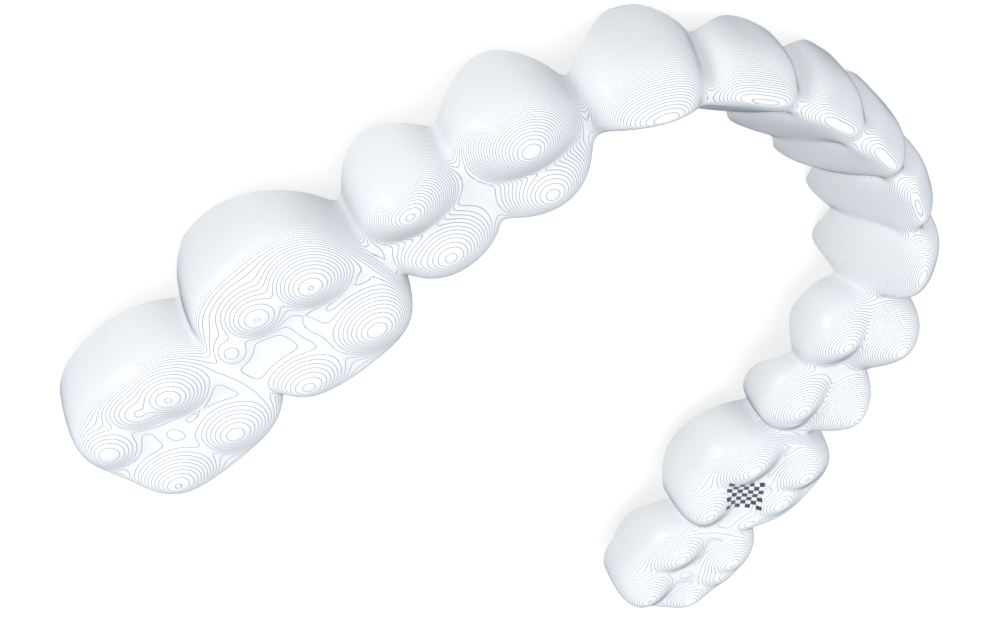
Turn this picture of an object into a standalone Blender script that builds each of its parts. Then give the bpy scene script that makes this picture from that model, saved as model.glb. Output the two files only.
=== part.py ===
"""A clear aligner for a lower jaw: one thin formed shell over fourteen teeth, open underneath.

The form is worked out in millimetres in the jaw's own frame: X to the wearer's left, Y back from the front teeth,
Z up out of the tooth caps, with 0 near the cusp tips. Half of the outer surface is a grid draped over rounded
crowns topped with cusps. It is mirrored, given its wall inwards, levelled on its trimmed edge and cut flat where
it rests.
"""

import math
from collections import namedtuple

import bmesh
import bpy
import numpy as np

MM = 0.001

# The teeth stand along a catenary: y = depth * (cosh(x / spread) - 1)
ARCH_DEPTH = 1.21
ARCH_SPREAD = 5.83

# Shell
WALL = 0.6
BENCH_CUT = 0.16

# Softness of the joins: between cusps, between a crown's walls and its cusps, between teeth
CUSP_BLEND = 0.1
CROWN_BLEND = 0.3
TOOTH_BLEND = 0.2
CUSP_ROUNDING = 1.2

# Grid of one half
ROW_STEP = 1.0
END_ROWS = 7
ACROSS_POINTS = 23
END_CORNER = math.radians(50)
END_PAST_MIDDLE = 1.5
SPINE_HEIGHT = -4.2
LOOK_DOWN = math.radians(62)
FAN_RAYS = 120
CAST_MARGIN = 1.7
SHORTEST_CAST = 0.2
CAST_STEPS = 26
CAST_HALVINGS = 14
RELAX_ROUNDS = 3
RELAX_TURNS = 10
SEATING_TURNS = 4
SHARP_ANGLE = math.radians(50)
SEAM_MERGE = 0.05

# Teeth of the other half that reach over the midline
MIRRORED_TEETH = 2

# Contact between a tooth and the one in front: a dome with its top cut off level
CONTACT_ALONG = 2.2
CONTACT_HEIGHT = 8.0
CONTACT_CUT = 1.0

# All along sizes run towards the back, all across sizes towards the cheek, and every height is that of a top.
# A cusp is a cone with a rounded tip: it falls by its slope for each of its spreads, and no lower than the pit.
# An edge is the height of the trimmed edge at the tooth's front contact, its lowest height, and where along the
# tooth that is, from 0 to 1.
Crown = namedtuple("Crown", "half_along half_across top half_height along across lean plan_power side_power")
Cusp = namedtuple("Cusp", "along across tip along_spread across_spread slope")
Contact = namedtuple("Contact", "half_across top across")
Edge = namedtuple("Edge", "contact low where")
Tooth = namedtuple("Tooth", "width front_contact crown cusps pit cheek_edge tongue_edge")

TEETH = {
    "central_incisor": Tooth(
        5.45, Contact(1.5, -0.7, -0.3), Crown(3.37, 3.66, 1.2, 10, -0.15, -0.43, 0.09, 3.2, 1.9),
        [Cusp(-0.1, 0.75, 0.1, 4, 0.65, 0.7)], -9.0,
        Edge(-5.92, -6.19, 0.5), Edge(-6.21, -7.14, 0.5)),
    "lateral_incisor": Tooth(
        5.75, Contact(1.6, -0.7, -0.2), Crown(3.83, 3.32, 1.2, 10, 0.18, -0.13, 0.13, 3, 1.9),
        [Cusp(-0.1, 0.75, 0, 4, 0.65, 0.7)], -9.0,
        Edge(-5.12, -6.39, 0.5), Edge(-6.18, -7.07, 0.5)),
    "canine": Tooth(
        7.1, Contact(1.9, -1.3, 0.1), Crown(4.09, 3.71, 1.8, 10, -0, -0.1, 0.07, 2.5, 2.1),
        [Cusp(-0.27, 1.03, 0.68, 1.2, 0.8, 0.8)], -9.0,
        Edge(-5.03, -7.15, 0.45), Edge(-6.14, -7, 0.6)),
    "first_premolar": Tooth(
        7.1, Contact(2.44, -2, -0.14), Crown(4.25, 4.8, 2.2, 9, 0.54, -0.08, -0.03, 2.4, 3),
        [Cusp(0, 2.03, 0.43, 1, 1, 0.8), Cusp(0.12, -2.4, -0.45, 1, 1, 0.65)], -1.9,
        Edge(-4.22, -5.99, 0.5), Edge(-4.98, -5.02, 0.5)),
    "second_premolar": Tooth(
        7.0, Contact(2.58, -2.1, -0.01), Crown(3.98, 4.92, 2.2, 9, 0.06, -0.26, -0.1, 2.4, 3),
        [Cusp(0.22, 2.83, 0.27, 1, 1, 0.8), Cusp(0.43, -2.38, -0.57, 1.1, 1, 0.65),
         Cusp(2, -1.8, -1.1, 0.7, 0.8, 0.6)], -1.9,
        Edge(-4.53, -5.83, 0.55), Edge(-3.71, -5.21, 0.6)),
    "first_molar": Tooth(
        11.4, Contact(3.22, -1.9, -0.11), Crown(5.95, 6.73, 2.2, 9, 0.48, -0.05, 0, 2.8, 3.1),
        [Cusp(-2.16, 2.69, -0.09, 1.1, 1, 0.65), Cusp(1.66, 3.13, -0.5, 1.1, 1, 0.6),
         Cusp(4.9, 2.1, -0.95, 1, 1, 0.55), Cusp(-2.21, -3.11, -0.12, 1.2, 1, 0.6),
         Cusp(3.87, -3.4, -0.35, 1.2, 1, 0.6), Cusp(-4.9, -0.3, -1.2, 0.6, 2.5, 0.5)], -1.9,
        Edge(-4.84, -7.11, 0.7), Edge(-5.28, -5.88, 0.55)),
    "second_molar": Tooth(
        11.0, Contact(3.4, -1.9, 0.3), Crown(6.34, 5.99, 2.2, 9, -0.01, 0.58, -0.06, 2.7, 3.1),
        [Cusp(-2.2, 3.31, -0.19, 1, 1, 0.55), Cusp(-0.1, 3.85, -0.5, 1, 1, 0.5),
         Cusp(3.71, 3.09, -0.49, 1, 1, 0.6), Cusp(-1.75, -2.29, -0.34, 1.1, 1, 0.55),
         Cusp(3.59, -2.08, -0.07, 1.1, 1, 0.65), Cusp(-4.6, 0.3, -1.2, 0.6, 2.5, 0.5)], -1.7,
        Edge(-5.39, -5.9, 0.58), Edge(-4.33, -5.61, 0.42)),
}
CHEEK_EDGE_END = -5.2
TONGUE_EDGE_END = -3.8
BACK_EDGE = -4.4

SHELL_COLOUR = (0.90, 0.93, 0.96, 1.0)
SHELL_ROUGHNESS = 0.12


class Arch:
    """The catenary that the teeth stand on, measured by its length from the midline."""

    def __init__(self, length, samples=8001):
        self.x = np.linspace(0, length, samples)
        stretch = np.sqrt(1 + self.slope(self.x) ** 2)
        steps = (stretch[1:] + stretch[:-1]) / 2 * np.diff(self.x)
        self.length = np.concatenate([[0], np.cumsum(steps)])

    @staticmethod
    def slope(x):
        return ARCH_DEPTH / ARCH_SPREAD * np.sinh(x / ARCH_SPREAD)

    def at(self, length):
        """Points, directions to the back and directions to the cheek, each (n, 2), at these lengths."""
        x = np.interp(length, self.length, self.x)
        points = np.stack([x, ARCH_DEPTH * (np.cosh(x / ARCH_SPREAD) - 1)], -1)
        back = np.stack([np.ones_like(x), self.slope(x)], -1)
        back /= np.linalg.norm(back, axis=-1, keepdims=True)
        return points, back, np.stack([back[..., 1], -back[..., 0]], -1)


def smooth_union(distances, blend):
    distances = np.array(distances)
    nearest = distances.min(0)
    return nearest - blend * np.log(np.exp((nearest - distances) / blend).sum(0))


def smooth_meet(distances, blend):
    """What all the forms have in common."""
    return -smooth_union([-distance for distance in distances], blend)


def crown_distance(along, across, up, crown):
    """Rounded box that leans towards the tongue as it rises."""
    across = across - crown.across - crown.lean * (up - SPINE_HEIGHT)
    plan = np.abs((along - crown.along) / crown.half_along) ** crown.plan_power
    plan += np.abs(across / crown.half_across) ** crown.plan_power
    side = np.abs((up - crown.top + crown.half_height) / crown.half_height) ** crown.side_power
    reach = (plan ** (crown.side_power / crown.plan_power) + side) ** (1 / crown.side_power)
    return (reach - 1) * min(crown.half_along, crown.half_across)


def cusp_distance(along, across, up, cusp):
    """Cone with a rounded tip, open downwards."""
    run = np.hypot((along - cusp.along) / cusp.along_spread, (across - cusp.across) / cusp.across_spread)
    fall = cusp.slope * (np.hypot(run, CUSP_ROUNDING) - CUSP_ROUNDING)
    return (up - cusp.tip + fall) / math.hypot(1, cusp.slope / min(cusp.along_spread, cusp.across_spread))


def dome_distance(along, across, up, half_along, half_across, half_height):
    """Ellipsoid whose top is at the origin."""
    reach = (along / half_along) ** 2 + (across / half_across) ** 2 + ((up + half_height) / half_height) ** 2
    return (np.sqrt(reach) - 1) * min(half_along, half_across, half_height)


class Teeth:
    """The outer form of all the teeth as a distance, negative inside."""

    def __init__(self):
        widths = [tooth.width for tooth in TEETH.values()]
        self.fronts = np.concatenate([[0], np.cumsum(widths)])[:-1]
        self.middles = self.fronts + np.array(widths) / 2
        self.arch = Arch(sum(widths))
        self.reach = CAST_MARGIN * max(tooth.crown.half_across for tooth in TEETH.values())

    def local(self, length, side, points):
        """Along, across and up of points, seen from a place on the arch of one side of the jaw."""
        place, back, cheek = self.arch.at(length)
        x = points[..., 0] * side - place[0]
        y = points[..., 1] - place[1]
        return x * back[0] + y * back[1], x * cheek[0] + y * cheek[1], points[..., 2]

    def tooth(self, index, tooth, side, points):
        along, across, up = self.local(self.middles[index], side, points)
        tops = [cusp_distance(along, across, up, cusp) for cusp in tooth.cusps]
        tops.append(up - tooth.pit)
        crown = crown_distance(along, across, up, tooth.crown)
        return smooth_meet([crown, smooth_union(tops, CUSP_BLEND)], CROWN_BLEND)

    def contact(self, index, tooth, side, points):
        along, across, up = self.local(self.fronts[index], side, points)
        contact = tooth.front_contact
        dome = dome_distance(along, across - contact.across, up - contact.top - CONTACT_CUT,
                             CONTACT_ALONG, contact.half_across, CONTACT_HEIGHT)
        return smooth_meet([dome, up - contact.top], CROWN_BLEND)

    def distance(self, points):
        parts = []
        for index, tooth in enumerate(TEETH.values()):
            parts.append(self.tooth(index, tooth, 1, points))
            parts.append(self.contact(index, tooth, 1, points))
            if index < MIRRORED_TEETH:
                parts.append(self.tooth(index, tooth, -1, points))
                parts.append(self.contact(index, tooth, -1, points))
        return smooth_union(parts, TOOTH_BLEND)

    def cast(self, starts, ways):
        """Where rays from inside the form leave it for good."""
        shape = starts.shape
        starts = starts.reshape(-1, 3)
        ways = ways.reshape(-1, 3)
        outside = np.full(len(starts), self.reach)
        inside = np.zeros(len(starts))
        for reach in np.linspace(self.reach, SHORTEST_CAST, CAST_STEPS):
            first = (inside == 0) & (self.distance(starts + ways * reach) < 0)
            inside[first] = reach
            outside[inside == 0] = reach
        for _ in range(CAST_HALVINGS):
            middle = (inside + outside) / 2
            within = self.distance(starts + ways * middle[:, None]) < 0
            inside = np.where(within, middle, inside)
            outside = np.where(within, outside, middle)
        return (starts + ways * ((inside + outside) / 2)[:, None]).reshape(shape)

    def cast_level(self, place, ways, heights):
        """Points of the outer form at these heights, level with the rays' starts."""
        starts = np.column_stack([place, heights])
        return self.cast(starts, np.column_stack([ways, np.zeros(len(heights))]))

    def edge_heights(self, lengths, side, end_height):
        """Height of the trimmed edge: it dips at each tooth and rises at each contact."""
        knots = []
        for front, tooth in zip(self.fronts, TEETH.values()):
            edge = getattr(tooth, side)
            knots += [(front, edge.contact), (front + edge.where * tooth.width, edge.low)]
        knots.append((self.fronts[-1] + tooth.width, end_height))
        places, heights = np.array(knots).T
        index = np.clip(np.searchsorted(places, lengths, side="right") - 1, 0, len(places) - 2)
        share = (lengths - places[index]) / (places[index + 1] - places[index])
        ease = (1 - np.cos(np.pi * np.clip(share, 0, 1))) / 2
        return heights[index] * (1 - ease) + heights[index + 1] * ease


def even_steps(line, count):
    """The line through these points, cut into equal steps."""
    steps = np.linalg.norm(np.diff(line, axis=0), axis=1)
    walked = np.concatenate([[0], np.cumsum(steps)])
    wanted = np.linspace(0, walked[-1], count)
    return np.column_stack([np.interp(wanted, walked, line[:, axis]) for axis in range(3)])


def unit(vectors):
    return vectors / np.linalg.norm(vectors, axis=-1, keepdims=True)


def arch_rows(teeth):
    """Rows of points over the teeth, each from the cheek edge over the top to the tongue edge."""
    ends = np.append(teeth.fronts[1:], teeth.middles[-1] + END_PAST_MIDDLE)
    spans = [np.linspace(front, end, round((end - front) / ROW_STEP) + 1)[1:]
             for front, end in zip(teeth.fronts, ends)]
    lengths = np.concatenate([[0], *spans])
    places, backs, cheeks = teeth.arch.at(lengths)
    cheek_edge = teeth.cast_level(places, cheeks, teeth.edge_heights(lengths, "cheek_edge", CHEEK_EDGE_END))
    tongue_edge = teeth.cast_level(places, -cheeks, teeth.edge_heights(lengths, "tongue_edge", TONGUE_EDGE_END))

    fan = np.linspace(-LOOK_DOWN, math.pi + LOOK_DOWN, FAN_RAYS)
    ways = np.zeros((len(lengths), FAN_RAYS, 3))
    ways[..., :2] = cheeks[:, None] * np.cos(fan)[None, :, None]
    ways[..., 2] = np.sin(fan)
    starts = np.zeros_like(ways)
    starts[..., :2] = places[:, None]
    starts[..., 2] = SPINE_HEIGHT
    hits = teeth.cast(starts, ways)
    rows = []
    for hit, cheek, tongue in zip(hits, cheek_edge, tongue_edge):
        cheek_side = fan < math.pi / 2
        above = np.where(cheek_side, hit[:, 2] > cheek[2], hit[:, 2] > tongue[2])
        rows.append(even_steps(np.vstack([cheek, hit[above], tongue]), ACROSS_POINTS))
    return np.array(rows)


def end_rows(teeth, last_row):
    """Rows that close the shell round the back of the last tooth."""
    length = teeth.middles[-1] + END_PAST_MIDDLE
    place, back, cheek = teeth.arch.at(length)
    centre = np.array([*place, SPINE_HEIGHT])

    def edge(angles):
        side = (1 + np.cos(angles)) / 2
        heights = last_row[0][2] * side + last_row[-1][2] * (1 - side)
        heights += (BACK_EDGE - heights) * np.sin(angles) ** 2
        ways = np.cos(angles)[:, None] * cheek + np.sin(angles)[:, None] * back
        return teeth.cast_level(np.tile(place, (len(angles), 1)), ways, heights)

    shares = np.linspace(0, 1, END_ROWS + 1)
    back_edge = edge(np.linspace(END_CORNER, math.pi - END_CORNER, ACROSS_POINTS))
    start_ways = unit(last_row - centre)
    end_ways = unit(back_edge - centre)
    turn = np.arccos(np.sum(start_ways * end_ways, axis=1))[:, None]
    ways = np.array([np.sin((1 - share) * turn) * start_ways + np.sin(share * turn) * end_ways
                     for share in shares]) / np.sin(turn)
    rows = teeth.cast(np.broadcast_to(centre, ways.shape), ways)
    rows[0] = last_row
    rows[-1] = back_edge
    rows[1:, 0] = edge(END_CORNER * shares[1:])
    rows[1:, -1] = edge(math.pi - END_CORNER * shares[1:])
    for _ in range(RELAX_ROUNDS):
        for _ in range(RELAX_TURNS):
            rows[1:-1, 1:-1] = (rows[:-2, 1:-1] + rows[2:, 1:-1] + rows[1:-1, :-2] + rows[1:-1, 2:]) / 4
        inner = rows[1:-1, 1:-1]
        rows[1:-1, 1:-1] = teeth.cast(np.broadcast_to(centre, inner.shape), unit(inner - centre))
    return rows[1:]


def seated(points):
    """The same points, turned until the front and the back of the trimmed edge touch one level plane.

    Its origin is then under the middle of the shell, at the height of the flat places it rests on.
    """
    edge = np.concatenate([points[:, 0], points[:, -1], points[-1]])
    middle = edge[:, 1].mean()
    for _ in range(SEATING_TURNS):
        front = edge[edge[:, 1] < middle]
        back = edge[edge[:, 1] >= middle]
        lowest_front = front[front[:, 2].argmin()]
        lowest_back = back[back[:, 2].argmin()]
        rise = lowest_back - lowest_front
        pitch = -math.atan2(rise[2], rise[1])
        turn = np.array([[1, 0, 0], [0, math.cos(pitch), -math.sin(pitch)], [0, math.sin(pitch), math.cos(pitch)]])
        points = points @ turn.T
        edge = edge @ turn.T
    lengthwise = points[..., 1]
    origin = np.array([0, (lengthwise.min() + lengthwise.max()) / 2, edge[:, 2].min() + BENCH_CUT])
    return points - origin


def clear_scene():
    for obj in list(bpy.data.objects):
        bpy.data.objects.remove(obj, do_unlink=True)


def new_collection(name):
    collection = bpy.data.collections.new(name)
    bpy.context.scene.collection.children.link(collection)
    return collection


def shell_material():
    material = bpy.data.materials.new("clear_shell")
    material.use_nodes = True
    shader = material.node_tree.nodes["Principled BSDF"]
    shader.inputs["Base Color"].default_value = SHELL_COLOUR
    shader.inputs["Roughness"].default_value = SHELL_ROUGHNESS
    shader.inputs["Metallic"].default_value = 0.0
    return material


def draped_grid(name, points):
    """A grid mesh with its corners at the given points, in metres."""
    rows, columns = points.shape[:2]
    grid = bmesh.new()
    bmesh.ops.create_grid(grid, x_segments=rows - 1, y_segments=columns - 1, size=1.0)
    for vert in grid.verts:
        row = round((vert.co.x + 1) / 2 * (rows - 1))
        column = round((vert.co.y + 1) / 2 * (columns - 1))
        vert.co = points[row, column] * MM
    mesh = bpy.data.meshes.new(name)
    grid.to_mesh(mesh)
    grid.free()
    return mesh


def bench(collection, size):
    """Everything under the level that the shell rests on, which is cut away."""
    block = bmesh.new()
    bmesh.ops.create_cube(block, size=size)
    bmesh.ops.translate(block, verts=block.verts, vec=(0, 0, -size / 2))
    mesh = bpy.data.meshes.new("bench")
    block.to_mesh(mesh)
    block.free()
    cutter = bpy.data.objects.new("bench", mesh)
    cutter.hide_render = True
    cutter.display_type = "WIRE"
    collection.objects.link(cutter)
    return cutter


def aligner_shell(collection, cutters):
    teeth = Teeth()
    rows = arch_rows(teeth)
    points = seated(np.concatenate([rows, end_rows(teeth, rows[-1])]))
    mesh = draped_grid("aligner_shell", points)
    mesh.materials.append(shell_material())
    shell = bpy.data.objects.new("aligner_shell", mesh)
    collection.objects.link(shell)

    mirror = shell.modifiers.new("other_half", "MIRROR")
    mirror.use_axis = (True, False, False)
    mirror.use_clip = True
    mirror.merge_threshold = SEAM_MERGE * MM

    wall = shell.modifiers.new("wall", "SOLIDIFY")
    wall.thickness = WALL * MM
    wall.offset = -1

    rest = shell.modifiers.new("rest_on_bench", "BOOLEAN")
    rest.operation = "DIFFERENCE"
    rest.solver = "EXACT"
    rest.object = bench(cutters, 4 * teeth.arch.x[-1] * MM)

    mesh.shade_smooth()
    mesh.set_sharp_from_angle(angle=SHARP_ANGLE)
    return shell


clear_scene()
aligner_shell(new_collection("clear_aligner"), new_collection("cutters"))
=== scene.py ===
"""A clear dental aligner on a pale floor, under soft studio light, seen from above and the wearer's left.

The shell is draped here at a fine step over the same tooth forms as the solid that it stands for, in
millimetres in the jaw's own frame: X to the wearer's left, Y back from the front teeth, Z up out of the tooth
caps, with 0 near the cusp tips. The camera is placed in that frame too, and goes through the same seating as
the shell.
"""

import math
from collections import namedtuple

import bpy
import numpy as np
from mathutils import Matrix, Vector


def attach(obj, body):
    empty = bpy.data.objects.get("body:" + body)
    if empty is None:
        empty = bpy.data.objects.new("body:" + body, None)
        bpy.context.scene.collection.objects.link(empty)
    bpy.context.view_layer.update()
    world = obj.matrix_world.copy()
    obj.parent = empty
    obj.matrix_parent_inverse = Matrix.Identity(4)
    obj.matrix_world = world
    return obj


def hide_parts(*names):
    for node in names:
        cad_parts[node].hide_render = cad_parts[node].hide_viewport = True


MM = 0.001

# The teeth stand along a catenary: y = depth * (cosh(x / spread) - 1)
ARCH_DEPTH = 1.21
ARCH_SPREAD = 5.83

# Shell
WALL = 0.6
BENCH_CUT = 0.16

# Softness of the joins: between cusps, between a crown's walls and its cusps, between teeth
CUSP_BLEND = 0.13
CROWN_BLEND = 0.3
TOOTH_BLEND = 0.2
CUSP_ROUNDING = 1.2

# Teeth of the other half that reach over the midline
MIRRORED_TEETH = 2

# Grid of one half
ROW_STEP = 0.2
END_ROWS = 34
ACROSS_POINTS = 113
END_CORNER = math.radians(50)
END_PAST_MIDDLE = 1.5
SPINE_HEIGHT = -4.2
LOOK_DOWN = math.radians(62)
FAN_RAYS = 320
CAST_STEPS = 26
CAST_HALVINGS = 14
SHORTEST_CAST = 0.2
CAST_MARGIN = 1.7
RELAX_ROUNDS = 3
RELAX_TURNS = 40
INNER_STRIDE = 2
SEATING_TURNS = 4

# Contact between a tooth and the one in front: a dome with its top cut off level
CONTACT_ALONG = 2.2
CONTACT_HEIGHT = 8.0
CONTACT_CUT = 1.0

# All along sizes run towards the back, all across sizes towards the cheek, and every height is that of a top.
# A crown's lean carries it towards the cheek as it rises, and its taper narrows it towards the tongue.
# A cusp is a cone with a rounded tip: it falls by its slope for each of its spreads, and no lower than the
# pit. Its tongue_share narrows its tongue side.
# An edge is the height of the trimmed edge at the tooth's front contact, its lowest height, and where along
# the tooth that is, from 0 to 1.
Crown = namedtuple(
    "Crown", "half_along half_across top half_height along across lean plan_power side_power taper",
    defaults=(0,))
Cusp = namedtuple("Cusp", "along across tip along_spread across_spread slope tongue_share", defaults=(1,))
Contact = namedtuple("Contact", "half_across top across")
Edge = namedtuple("Edge", "contact low where")
Tooth = namedtuple("Tooth", "width front_contact crown cusps pit cheek_edge tongue_edge")

TEETH = {
    "central_incisor": Tooth(
        5.45, Contact(1.0, -0.55, 0.6), Crown(3.1, 3.66, 1.5, 10, -0.15, -0.55, 0.09, 3.2, 2.4, 0.14),
        [Cusp(-0.1, 0.75, 0.1, 6, 0.6, 0.75, 0.8)], -9.0,
        Edge(-5.92, -6.19, 0.5), Edge(-6.21, -7.14, 0.5)),
    "lateral_incisor": Tooth(
        5.75, Contact(1.0, -0.55, 0.6), Crown(3.4, 3.4, 1.5, 10, 0.10, -0.32, 0.13, 3, 2.4, 0.14),
        [Cusp(-0.1, 0.75, 0, 6, 0.6, 0.75, 0.8)], -9.0,
        Edge(-5.12, -6.39, 0.5), Edge(-6.18, -7.07, 0.5)),
    "canine": Tooth(
        7.1, Contact(1.2, -0.7, 0.5), Crown(4.0, 3.71, 1.8, 10, 0, -0.1, 0.07, 2.6, 2.2, 0.12),
        [Cusp(-0.3, 0.5, 0.68, 1.7, 0.8, 0.8, 0.55)], -9.0,
        Edge(-5.03, -7.15, 0.45), Edge(-6.14, -7, 0.6)),
    "first_premolar": Tooth(
        7.1, Contact(2.44, -2, -0.14), Crown(4.25, 4.8, 2.2, 9, 0.54, -0.08, -0.03, 2.4, 3),
        [Cusp(0, 2.03, 0.43, 1, 1, 0.8), Cusp(0.12, -2.4, -0.45, 1, 1, 0.65)], -1.9,
        Edge(-4.22, -5.99, 0.5), Edge(-4.98, -5.02, 0.5)),
    "second_premolar": Tooth(
        7.0, Contact(2.58, -2.1, -0.01), Crown(3.98, 4.92, 2.2, 9, 0.06, -0.26, -0.1, 2.4, 3),
        [Cusp(0.22, 2.83, 0.27, 1, 1, 0.8), Cusp(0.43, -2.38, -0.57, 1.1, 1, 0.65),
         Cusp(2, -1.8, -1.1, 0.7, 0.8, 0.6)], -1.9,
        Edge(-4.53, -5.83, 0.55), Edge(-3.71, -5.21, 0.6)),
    "first_molar": Tooth(
        11.4, Contact(3.22, -1.9, -0.11), Crown(5.95, 6.73, 2.2, 9, 0.48, -0.05, 0, 2.8, 3.1),
        [Cusp(-2.16, 2.69, -0.09, 1.1, 1, 0.65), Cusp(1.66, 3.13, -0.5, 1.1, 1, 0.6),
         Cusp(4.9, 2.1, -0.95, 1, 1, 0.55), Cusp(-2.21, -3.11, -0.12, 1.2, 1, 0.6),
         Cusp(3.87, -3.4, -0.35, 1.2, 1, 0.6), Cusp(-4.9, -0.3, -1.1, 0.6, 2.5, 0.5),
         Cusp(0.3, -0.4, -1.0, 0.8, 1.6, 0.25)], -1.3,
        Edge(-4.84, -7.11, 0.7), Edge(-5.28, -5.88, 0.55)),
    "second_molar": Tooth(
        11.0, Contact(3.4, -1.9, 0.3), Crown(6.34, 5.99, 2.2, 9, -0.01, 0.58, -0.06, 2.7, 3.1),
        [Cusp(-2.2, 3.31, -0.19, 1, 1, 0.55), Cusp(-0.1, 3.85, -0.5, 1, 1, 0.5),
         Cusp(3.71, 3.09, -0.49, 1, 1, 0.6), Cusp(-1.75, -2.29, -0.34, 1.1, 1, 0.55),
         Cusp(3.59, -2.08, -0.07, 1.1, 1, 0.65), Cusp(-4.6, 0.3, -1.1, 0.6, 2.5, 0.5),
         Cusp(0.6, 0.4, -1.0, 0.7, 0.9, 0.25)], -1.25,
        Edge(-5.39, -5.9, 0.58), Edge(-4.33, -5.61, 0.42)),
}
CHEEK_EDGE_END = -5.2
TONGUE_EDGE_END = -3.8
BACK_EDGE = -4.4

# Camera, in the jaw's frame
CAMERA_EYE = (58.622, -9.598, 51.114)
CAMERA_TARGET = (12.70, 20.13, -0.19)
CAMERA_ROLL = math.radians(156.3)
CAMERA_LENS = 44.04

# Milky plastic, with the level lines of the printed form that it was drawn over: their relief is a bump, and
# their dark colour is painted shade of the small layer steps
SHELL_COLOUR = (0.94, 0.945, 0.95, 1.0)
# Colour of the painted shade at each layer step
STEP_SHADE_COLOUR = (0.12, 0.17, 0.22, 1.0)
PLASTIC_TINT = (0.908, 0.919, 0.929, 1.0)
LAYER_STEP = 0.1 * MM
LINE_WIDTH = 0.035 * MM
THINNEST_LINE = 0.0005 * MM
LINE_DEPTH = 0.01 * MM
STEP_SHADE_STRENGTH = 1.0
LINE_FADE = 0.65
LINE_WOBBLE = 0.02 * MM
WOBBLE_SCALE = 900.0

# A plain checked square printed on the right first molar, in the jaw's frame and in millimetres: the print
# is slanted, as if it had been pressed down onto the sloping cusps
MARK_CENTRE = (-21.6, 27.85, -1.0)
MARK_WAYS = ((-0.819, -0.797, 0.0), (-0.301, 1.102, 0.0))
MARK_CELL = 0.55
MARK_CELLS = 7
MARK_COLOUR = (0.05, 0.06, 0.07, 1.0)

FLOOR_SIZE = 4.0
FLOOR_DROP = 0.00005
FLOOR_COLOUR = (0.35, 0.35, 0.35, 1.0)
FLOOR_GLOW = 0.75

# The sky is brightest towards its way, and falls off evenly to the other side
SKY_COLOUR = (0.97, 0.985, 1.0, 1)
SKY_WAY = (-0.09, -0.92, 0.38)
SKY_LEVEL = 1.05
SKY_SWING = 0.34
KEY_WAY = (0.94, 0.22, 0.26)
KEY_DISTANCE = 0.6
KEY_SIZE = 0.2
KEY_POWER = 1.5


class Arch:
    """The catenary that the teeth stand on, measured by its length from the midline."""

    def __init__(self, length, samples=8001):
        self.x = np.linspace(0, length, samples)
        stretch = np.sqrt(1 + self.slope(self.x) ** 2)
        steps = (stretch[1:] + stretch[:-1]) / 2 * np.diff(self.x)
        self.length = np.concatenate([[0], np.cumsum(steps)])

    @staticmethod
    def slope(x):
        return ARCH_DEPTH / ARCH_SPREAD * np.sinh(x / ARCH_SPREAD)

    def at(self, length):
        """Points, directions to the back and directions to the cheek, each (n, 2), at these lengths."""
        x = np.interp(length, self.length, self.x)
        points = np.stack([x, ARCH_DEPTH * (np.cosh(x / ARCH_SPREAD) - 1)], -1)
        back = np.stack([np.ones_like(x), self.slope(x)], -1)
        back /= np.linalg.norm(back, axis=-1, keepdims=True)
        return points, back, np.stack([back[..., 1], -back[..., 0]], -1)


def smooth_union(distances, blend):
    distances = np.array(distances)
    nearest = distances.min(0)
    return nearest - blend * np.log(np.exp((nearest - distances) / blend).sum(0))


def smooth_meet(distances, blend):
    """What all the forms have in common."""
    return -smooth_union([-distance for distance in distances], blend)


def crown_distance(along, across, up, crown):
    """Rounded box with a lean and a taper."""
    across = across - crown.across - crown.lean * (up - SPINE_HEIGHT)
    half_along = crown.half_along * (1 + crown.taper * np.clip(across / crown.half_across, -1, 1))
    plan = np.abs((along - crown.along) / half_along) ** crown.plan_power
    plan += np.abs(across / crown.half_across) ** crown.plan_power
    side = np.abs((up - crown.top + crown.half_height) / crown.half_height) ** crown.side_power
    reach = (plan ** (crown.side_power / crown.plan_power) + side) ** (1 / crown.side_power)
    return (reach - 1) * min(crown.half_along, crown.half_across)


def cusp_distance(along, across, up, cusp):
    """Cone with a rounded tip, open downwards."""
    across = across - cusp.across
    across = np.where(across < 0, across / cusp.tongue_share, across)
    run = np.hypot((along - cusp.along) / cusp.along_spread, across / cusp.across_spread)
    fall = cusp.slope * (np.hypot(run, CUSP_ROUNDING) - CUSP_ROUNDING)
    return (up - cusp.tip + fall) / math.hypot(1, cusp.slope / min(cusp.along_spread, cusp.across_spread))


def dome_distance(along, across, up, half_along, half_across, half_height):
    """Ellipsoid whose top is at the origin."""
    reach = (along / half_along) ** 2 + (across / half_across) ** 2 + ((up + half_height) / half_height) ** 2
    return (np.sqrt(reach) - 1) * min(half_along, half_across, half_height)


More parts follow.
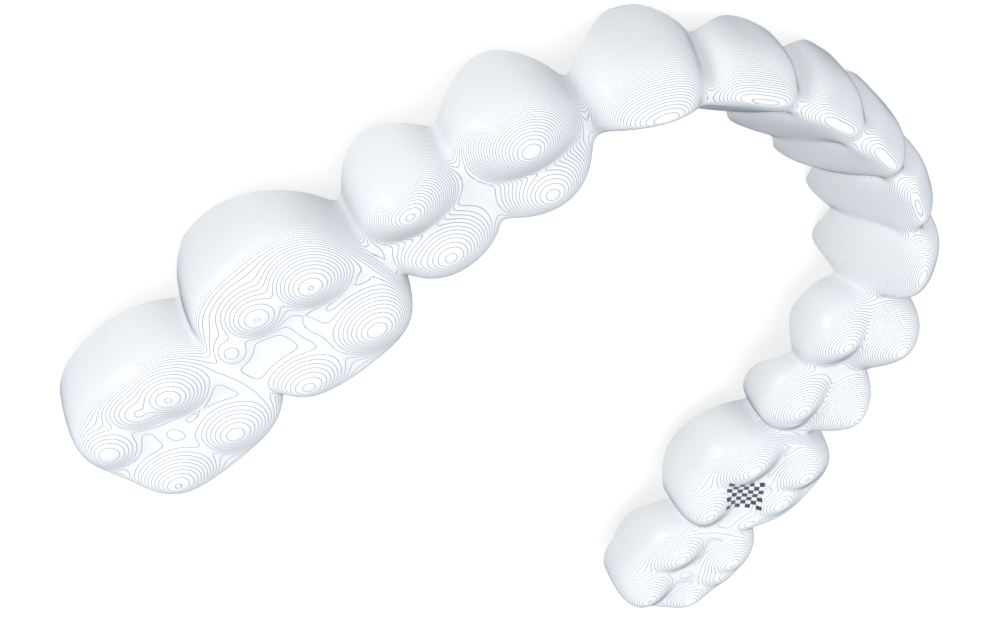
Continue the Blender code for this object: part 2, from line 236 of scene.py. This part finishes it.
class Teeth:
    """The outer form of all the teeth as a distance, negative inside."""

    def __init__(self):
        widths = [tooth.width for tooth in TEETH.values()]
        self.fronts = np.concatenate([[0], np.cumsum(widths)])[:-1]
        self.middles = self.fronts + np.array(widths) / 2
        self.arch = Arch(sum(widths))
        self.reach = CAST_MARGIN * max(tooth.crown.half_across for tooth in TEETH.values())

    def local(self, length, side, points):
        """Along, across and up of points, seen from a place on the arch of one side of the jaw."""
        place, back, cheek = self.arch.at(length)
        x = points[..., 0] * side - place[0]
        y = points[..., 1] - place[1]
        return x * back[0] + y * back[1], x * cheek[0] + y * cheek[1], points[..., 2]

    def tooth(self, index, tooth, side, points):
        along, across, up = self.local(self.middles[index], side, points)
        tops = [cusp_distance(along, across, up, cusp) for cusp in tooth.cusps]
        tops.append(up - tooth.pit)
        crown = crown_distance(along, across, up, tooth.crown)
        return smooth_meet([crown, smooth_union(tops, CUSP_BLEND)], CROWN_BLEND)

    def contact(self, index, tooth, side, points):
        along, across, up = self.local(self.fronts[index], side, points)
        contact = tooth.front_contact
        dome = dome_distance(along, across - contact.across, up - contact.top - CONTACT_CUT,
                             CONTACT_ALONG, contact.half_across, CONTACT_HEIGHT)
        return smooth_meet([dome, up - contact.top], CROWN_BLEND)

    def distance(self, points):
        parts = []
        for index, tooth in enumerate(TEETH.values()):
            parts.append(self.tooth(index, tooth, 1, points))
            parts.append(self.contact(index, tooth, 1, points))
            if index < MIRRORED_TEETH:
                parts.append(self.tooth(index, tooth, -1, points))
                parts.append(self.contact(index, tooth, -1, points))
        return smooth_union(parts, TOOTH_BLEND)

    def steepness(self, points, step=0.01):
        """How fast the distance grows at these points."""
        slopes = [self.distance(points + way) - self.distance(points - way) for way in np.eye(3) * step]
        return np.sqrt(np.sum(np.square(slopes), axis=0)) / (2 * step)

    def cast(self, starts, ways, depth=0.0):
        """Where rays from inside the form leave it for good, or come that deep in the distance."""
        shape = starts.shape
        starts = starts.reshape(-1, 3)
        ways = ways.reshape(-1, 3)
        level = -np.broadcast_to(depth, shape[:-1]).reshape(-1)
        outside = np.full(len(starts), self.reach)
        inside = np.zeros(len(starts))
        for reach in np.linspace(self.reach, SHORTEST_CAST, CAST_STEPS):
            first = (inside == 0) & (self.distance(starts + ways * reach) < level)
            inside[first] = reach
            outside[inside == 0] = reach
        for _ in range(CAST_HALVINGS):
            middle = (inside + outside) / 2
            within = self.distance(starts + ways * middle[:, None]) < level
            inside = np.where(within, middle, inside)
            outside = np.where(within, outside, middle)
        return (starts + ways * ((inside + outside) / 2)[:, None]).reshape(shape)

    def cast_level(self, place, ways, heights):
        """Points of the outer form at these heights, level with the rays' starts."""
        starts = np.column_stack([place, heights])
        return self.cast(starts, np.column_stack([ways, np.zeros(len(heights))]))

    def edge_heights(self, lengths, side, end_height):
        """Height of the trimmed edge: it dips at each tooth and rises at each contact."""
        knots = []
        for front, tooth in zip(self.fronts, TEETH.values()):
            edge = getattr(tooth, side)
            knots += [(front, edge.contact), (front + edge.where * tooth.width, edge.low)]
        knots.append((self.fronts[-1] + tooth.width, end_height))
        places, heights = np.array(knots).T
        index = np.clip(np.searchsorted(places, lengths, side="right") - 1, 0, len(places) - 2)
        share = (lengths - places[index]) / (places[index + 1] - places[index])
        ease = (1 - np.cos(np.pi * np.clip(share, 0, 1))) / 2
        return heights[index] * (1 - ease) + heights[index + 1] * ease


def even_steps(line, count):
    """The line through these points, cut into equal steps."""
    steps = np.linalg.norm(np.diff(line, axis=0), axis=1)
    walked = np.concatenate([[0], np.cumsum(steps)])
    wanted = np.linspace(0, walked[-1], count)
    return np.column_stack([np.interp(wanted, walked, line[:, axis]) for axis in range(3)])


def unit(vectors):
    return vectors / np.linalg.norm(vectors, axis=-1, keepdims=True)


def arch_rows(teeth):
    """Rows of points from the cheek edge over the teeth to the tongue edge, and the rows' centres."""
    ends = np.append(teeth.fronts[1:], teeth.middles[-1] + END_PAST_MIDDLE)
    spans = [np.linspace(front, end, round((end - front) / ROW_STEP) + 1)[1:]
             for front, end in zip(teeth.fronts, ends)]
    lengths = np.concatenate([[0], *spans])
    places, backs, cheeks = teeth.arch.at(lengths)
    cheek_heights = teeth.edge_heights(lengths, "cheek_edge", CHEEK_EDGE_END)
    tongue_heights = teeth.edge_heights(lengths, "tongue_edge", TONGUE_EDGE_END)
    cheek_edge = teeth.cast_level(places, cheeks, cheek_heights)
    tongue_edge = teeth.cast_level(places, -cheeks, tongue_heights)

    fan = np.linspace(-LOOK_DOWN, math.pi + LOOK_DOWN, FAN_RAYS)
    ways = np.zeros((len(lengths), FAN_RAYS, 3))
    ways[..., :2] = cheeks[:, None] * np.cos(fan)[None, :, None]
    ways[..., 2] = np.sin(fan)
    starts = np.zeros_like(ways)
    starts[..., :2] = places[:, None]
    starts[..., 2] = SPINE_HEIGHT
    hits = teeth.cast(starts, ways)
    rows = []
    for hit, cheek, tongue in zip(hits, cheek_edge, tongue_edge):
        cheek_side = fan < math.pi / 2
        above = np.where(cheek_side, hit[:, 2] > cheek[2], hit[:, 2] > tongue[2])
        rows.append(even_steps(np.vstack([cheek, hit[above], tongue]), ACROSS_POINTS))
    centres = np.column_stack([places, np.full(len(places), SPINE_HEIGHT)])
    return np.array(rows), centres


def end_rows(teeth, last_row):
    """Rows that close the shell round the back of the last tooth, and the centre they are cast from."""
    length = teeth.middles[-1] + END_PAST_MIDDLE
    place, back, cheek = teeth.arch.at(length)
    centre = np.array([*place, SPINE_HEIGHT])

    def edge(angles):
        side = (1 + np.cos(angles)) / 2
        heights = last_row[0][2] * side + last_row[-1][2] * (1 - side)
        heights += (BACK_EDGE - heights) * np.sin(angles) ** 2
        ways = np.cos(angles)[:, None] * cheek + np.sin(angles)[:, None] * back
        return teeth.cast_level(np.tile(place, (len(angles), 1)), ways, heights)

    shares = np.linspace(0, 1, END_ROWS + 1)
    back_edge = edge(np.linspace(END_CORNER, math.pi - END_CORNER, ACROSS_POINTS))
    start_ways = unit(last_row - centre)
    end_ways = unit(back_edge - centre)
    turn = np.arccos(np.sum(start_ways * end_ways, axis=1))[:, None]
    ways = np.array([np.sin((1 - share) * turn) * start_ways + np.sin(share * turn) * end_ways
                     for share in shares]) / np.sin(turn)
    rows = teeth.cast(np.broadcast_to(centre, ways.shape), ways)
    rows[0] = last_row
    rows[-1] = back_edge
    rows[1:, 0] = edge(END_CORNER * shares[1:])
    rows[1:, -1] = edge(math.pi - END_CORNER * shares[1:])
    for _ in range(RELAX_ROUNDS):
        for _ in range(RELAX_TURNS):
            rows[1:-1, 1:-1] = (rows[:-2, 1:-1] + rows[2:, 1:-1] + rows[1:-1, :-2] + rows[1:-1, 2:]) / 4
        inner = rows[1:-1, 1:-1]
        rows[1:-1, 1:-1] = teeth.cast(np.broadcast_to(centre, inner.shape), unit(inner - centre))
    return rows[1:], centre


def inner_wall(teeth, outer, centres):
    """Points under the outer ones, one wall deeper, on the rays from the same centres."""
    outer = outer[:, ::INNER_STRIDE]
    starts = np.broadcast_to(centres[:, None], outer.shape)
    depth = WALL * teeth.steepness(outer)
    return teeth.cast(starts, unit(outer - starts), depth)


class Seat:
    """The move that puts the front and the back of the trimmed edge on one level plane, as the solid does."""

    def __init__(self, points):
        edge = np.concatenate([points[:, 0], points[:, -1], points[-1]])
        middle = edge[:, 1].mean()
        self.turn = np.eye(3)
        for _ in range(SEATING_TURNS):
            front = edge[edge[:, 1] < middle]
            back = edge[edge[:, 1] >= middle]
            rise = back[back[:, 2].argmin()] - front[front[:, 2].argmin()]
            pitch = -math.atan2(rise[2], rise[1])
            step = np.array(Matrix.Rotation(pitch, 3, "X"))
            self.turn = step @ self.turn
            edge = edge @ step.T
        lengthwise = (points @ self.turn.T)[..., 1]
        self.origin = np.array([0, (lengthwise.min() + lengthwise.max()) / 2, edge[:, 2].min() + BENCH_CUT])

    def points(self, points):
        """Jaw points in millimetres as points of the part's frame in metres."""
        return (points @ self.turn.T - self.origin) * MM

    def way(self, way):
        return Vector(self.turn @ np.array(way, float))


def shell_faces(rows, outer_columns, inner_columns):
    """Quads of both walls and of the rim between them. Inner points follow the outer ones."""
    faces = []
    inner_start = rows * outer_columns
    edges = ((0, 0, False), (outer_columns - 1, inner_columns - 1, True))
    for row in range(rows - 1):
        for column in range(outer_columns - 1):
            corner = row * outer_columns + column
            faces.append((corner, corner + outer_columns, corner + outer_columns + 1, corner + 1))
        for column in range(inner_columns - 1):
            corner = inner_start + row * inner_columns + column
            faces.append((corner, corner + 1, corner + inner_columns + 1, corner + inner_columns))
        for outer_column, inner_column, turned in edges:
            outer = row * outer_columns + outer_column
            inner = inner_start + row * inner_columns + inner_column
            rim = (outer, inner, inner + inner_columns, outer + outer_columns)
            faces.append(rim[::-1] if turned else rim)
    last_outer = (rows - 1) * outer_columns
    last_inner = inner_start + (rows - 1) * inner_columns
    for column in range(inner_columns - 1):
        outer = last_outer + column * INNER_STRIDE
        inner = last_inner + column
        faces.append((outer, inner, inner + 1, outer + 1))
        faces.append((outer + 1, inner + 1, outer + 2))
    return faces


def shell_piece():
    teeth = Teeth()
    rows, centres = arch_rows(teeth)
    back_rows, back_centre = end_rows(teeth, rows[-1])
    outer = np.concatenate([rows, back_rows])
    centres = np.concatenate([centres, np.tile(back_centre, (len(back_rows), 1))])
    inner = inner_wall(teeth, outer, centres)
    seat = Seat(outer)
    walls = [seat.points(outer), seat.points(inner)]
    for wall in walls:
        wall[..., 2] = np.maximum(wall[..., 2], 0)
        wall[0, :, 0] = 0
    points = np.concatenate([wall.reshape(-1, 3) for wall in walls])
    mesh = bpy.data.meshes.new("shell")
    mesh.from_pydata(points.tolist(), [], shell_faces(len(outer), outer.shape[1], inner.shape[1]))
    shell = bpy.data.objects.new("shell", mesh)
    bpy.context.scene.collection.objects.link(shell)
    mirror = shell.modifiers.new("other_half", "MIRROR")
    mirror.use_axis = (True, False, False)
    mirror.use_clip = True
    mirror.merge_threshold = 0.00002
    mesh.shade_smooth()
    mesh.set_sharp_from_angle(angle=math.radians(60))
    return shell, seat


class Nodes:
    """Makes and links the shader nodes of one material or world."""

    def __init__(self, tree):
        self.tree = tree

    def add(self, kind):
        return self.tree.nodes.new(kind)

    def link(self, source, target):
        self.tree.links.new(source, target)

    def math(self, operation, *values, clamp=False):
        node = self.add("ShaderNodeMath")
        node.operation = operation
        node.use_clamp = clamp
        for socket, value in zip(node.inputs, values):
            if isinstance(value, bpy.types.NodeSocket):
                self.link(value, socket)
            else:
                socket.default_value = value
        return node.outputs[0]

    def dot(self, vector, way):
        node = self.add("ShaderNodeVectorMath")
        node.operation = "DOT_PRODUCT"
        self.link(vector, node.inputs[0])
        node.inputs[1].default_value = way
        return node.outputs["Value"]

    def noise(self, vector, scale):
        node = self.add("ShaderNodeTexNoise")
        node.inputs["Scale"].default_value = scale
        self.link(vector, node.inputs["Vector"])
        return node.outputs[0]

    def mix(self, share, first, second):
        node = self.add("ShaderNodeMix")
        node.data_type = "RGBA"
        self.link(share, node.inputs["Factor"])
        for name, value in (("A", first), ("B", second)):
            socket = next(s for s in node.inputs if s.name == name and s.type == "RGBA")
            if isinstance(value, bpy.types.NodeSocket):
                self.link(value, socket)
            else:
                socket.default_value = value
        return next(s for s in node.outputs if s.type == "RGBA")


def printed_mark(nodes, place, seat):
    """1 in every other cell of the checked square, and 0 elsewhere."""
    centre = Vector(seat.points(np.array(MARK_CENTRE)))
    cells = []
    inside = []
    for way in map(seat.way, MARK_WAYS):
        run = nodes.math("SUBTRACT", nodes.dot(place, way), centre.dot(way))
        steps = nodes.math("DIVIDE", run, MARK_CELL * MM)
        inside.append(nodes.math("LESS_THAN", nodes.math("ABSOLUTE", steps), MARK_CELLS / 2))
        cells.append(nodes.math("ROUND", steps))
    odd = nodes.math("MODULO", nodes.math("ABSOLUTE", nodes.math("ADD", *cells)), 2.0)
    return nodes.math("MULTIPLY", nodes.math("MULTIPLY", *inside), nodes.math("SUBTRACT", 1.0, odd))


def shell_material(seat):
    """Milky gloss plastic under an absorbing coat, which darkens it where it is seen at a shallow angle. The
    dark level lines in its colour are painted shade of the layer steps, with a bump for their relief.
    """
    material = bpy.data.materials.new("milky_clear_plastic")
    material.use_nodes = True
    nodes = Nodes(material.node_tree)
    shader = material.node_tree.nodes["Principled BSDF"]
    place = nodes.add("ShaderNodeTexCoord").outputs["Object"]
    up = seat.way((0, 0, 1))
    noise = nodes.noise(place, WOBBLE_SCALE)
    wobble = nodes.math("MULTIPLY", nodes.math("SUBTRACT", noise, 0.5), LINE_WOBBLE)
    height = nodes.math("ADD", nodes.dot(place, up), wobble)
    layer = nodes.math("FRACT", nodes.math("DIVIDE", height, LAYER_STEP))
    off_line = nodes.math("ABSOLUTE", nodes.math("SUBTRACT", layer, 0.5))
    from_line = nodes.math("MULTIPLY", off_line, LAYER_STEP)
    level = nodes.dot(nodes.add("ShaderNodeNewGeometry").outputs["Normal"], up)
    level_squared = nodes.math("MULTIPLY", level, level)
    slope = nodes.math("SQRT", nodes.math("SUBTRACT", 1.0, level_squared, clamp=True))
    half_width = nodes.math("MAXIMUM", nodes.math("MULTIPLY", slope, LINE_WIDTH), THINNEST_LINE)
    line = nodes.math("SUBTRACT", 1.0, nodes.math("DIVIDE", from_line, half_width), clamp=True)
    steep = nodes.math("MULTIPLY", slope, nodes.math("MULTIPLY", slope, slope))
    strength = nodes.math("SUBTRACT", STEP_SHADE_STRENGTH, nodes.math("MULTIPLY", steep, LINE_FADE))
    # The dark level lines are painted shade of the small layer steps, mixed into the base colour
    colour = nodes.mix(nodes.math("MULTIPLY", line, strength), SHELL_COLOUR, STEP_SHADE_COLOUR)
    colour = nodes.mix(printed_mark(nodes, place, seat), colour, MARK_COLOUR)
    nodes.link(colour, shader.inputs["Base Color"])
    shader.inputs["Roughness"].default_value = 0.2
    shader.inputs["IOR"].default_value = 1.45
    shader.inputs["Specular IOR Level"].default_value = 0.35
    shader.inputs["Coat Weight"].default_value = 1.0
    shader.inputs["Coat IOR"].default_value = 1.002
    shader.inputs["Coat Tint"].default_value = PLASTIC_TINT
    bump = nodes.add("ShaderNodeBump")
    bump.invert = True
    bump.inputs["Strength"].default_value = 0.5
    bump.inputs["Distance"].default_value = LINE_DEPTH
    nodes.link(line, bump.inputs["Height"])
    nodes.link(bump.outputs["Normal"], shader.inputs["Normal"])
    return material


def floor_piece():
    mesh = bpy.data.meshes.new("floor")
    half = FLOOR_SIZE / 2
    corners = [(-half, -half, 0), (half, -half, 0), (half, half, 0), (-half, half, 0)]
    mesh.from_pydata(corners, [], [(0, 1, 2, 3)])
    floor = bpy.data.objects.new("floor", mesh)
    bpy.context.scene.collection.objects.link(floor)
    floor.location.z = -FLOOR_DROP
    material = bpy.data.materials.new("pale_floor")
    material.use_nodes = True
    nodes = Nodes(material.node_tree)
    shader = material.node_tree.nodes["Principled BSDF"]
    shader.inputs["Base Color"].default_value = FLOOR_COLOUR
    shader.inputs["Roughness"].default_value = 0.9
    shader.inputs["Specular IOR Level"].default_value = 0.0
    path = nodes.add("ShaderNodeLightPath")
    seen = nodes.math("ADD", path.outputs["Is Camera Ray"], path.outputs["Is Glossy Ray"])
    seen = nodes.math("ADD", seen, path.outputs["Is Transmission Ray"], clamp=True)
    shader.inputs["Emission Color"].default_value = (1, 1, 1, 1)
    nodes.link(nodes.math("MULTIPLY", seen, FLOOR_GLOW), shader.inputs["Emission Strength"])
    mesh.materials.append(material)


def key_light():
    light = bpy.data.lights.new("key_light", "AREA")
    light.size = KEY_SIZE
    light.energy = KEY_POWER
    lamp = bpy.data.objects.new("key_light", light)
    bpy.context.scene.collection.objects.link(lamp)
    way = Vector(KEY_WAY).normalized()
    lamp.location = way * KEY_DISTANCE
    lamp.rotation_euler = way.to_track_quat("Z", "Y").to_euler()


def sky():
    world = bpy.data.worlds.new("studio")
    bpy.context.scene.world = world
    world.use_nodes = True
    nodes = Nodes(world.node_tree)
    background = world.node_tree.nodes["Background"]
    background.inputs["Color"].default_value = SKY_COLOUR
    direction = nodes.add("ShaderNodeTexCoord").outputs["Generated"]
    glow = nodes.math("MULTIPLY", nodes.dot(direction, Vector(SKY_WAY).normalized()), SKY_SWING)
    nodes.link(nodes.math("ADD", glow, SKY_LEVEL), background.inputs["Strength"])


def camera(seat):
    data = bpy.data.cameras.new("camera")
    data.lens = CAMERA_LENS
    data.sensor_width = 36.0
    data.clip_start = 0.001
    data.clip_end = 10.0
    view = bpy.data.objects.new("camera", data)
    bpy.context.scene.collection.objects.link(view)
    eye = Vector(seat.points(np.array(CAMERA_EYE)))
    back = (eye - Vector(seat.points(np.array(CAMERA_TARGET)))).normalized()
    right = seat.way((0, 0, 1)).cross(back).normalized()
    up = back.cross(right)
    upright = Matrix((right, up, back)).transposed()
    turn = upright @ Matrix.Rotation(CAMERA_ROLL, 3, "Z")
    view.matrix_world = Matrix.Translation(eye) @ turn.to_4x4()
    bpy.context.scene.camera = view


bpy.context.scene.view_settings.view_transform = "Standard"
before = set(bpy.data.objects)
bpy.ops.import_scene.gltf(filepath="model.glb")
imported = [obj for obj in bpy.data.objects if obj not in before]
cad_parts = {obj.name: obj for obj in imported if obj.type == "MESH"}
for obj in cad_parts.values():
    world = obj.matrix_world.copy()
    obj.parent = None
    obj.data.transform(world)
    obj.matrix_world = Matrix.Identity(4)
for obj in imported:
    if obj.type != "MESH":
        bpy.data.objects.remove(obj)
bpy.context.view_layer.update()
shell, seat = shell_piece()
shell.data.materials.append(shell_material(seat))
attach(shell, "root")
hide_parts("aligner_shell")
floor_piece()
sky()
key_light()
camera(seat)
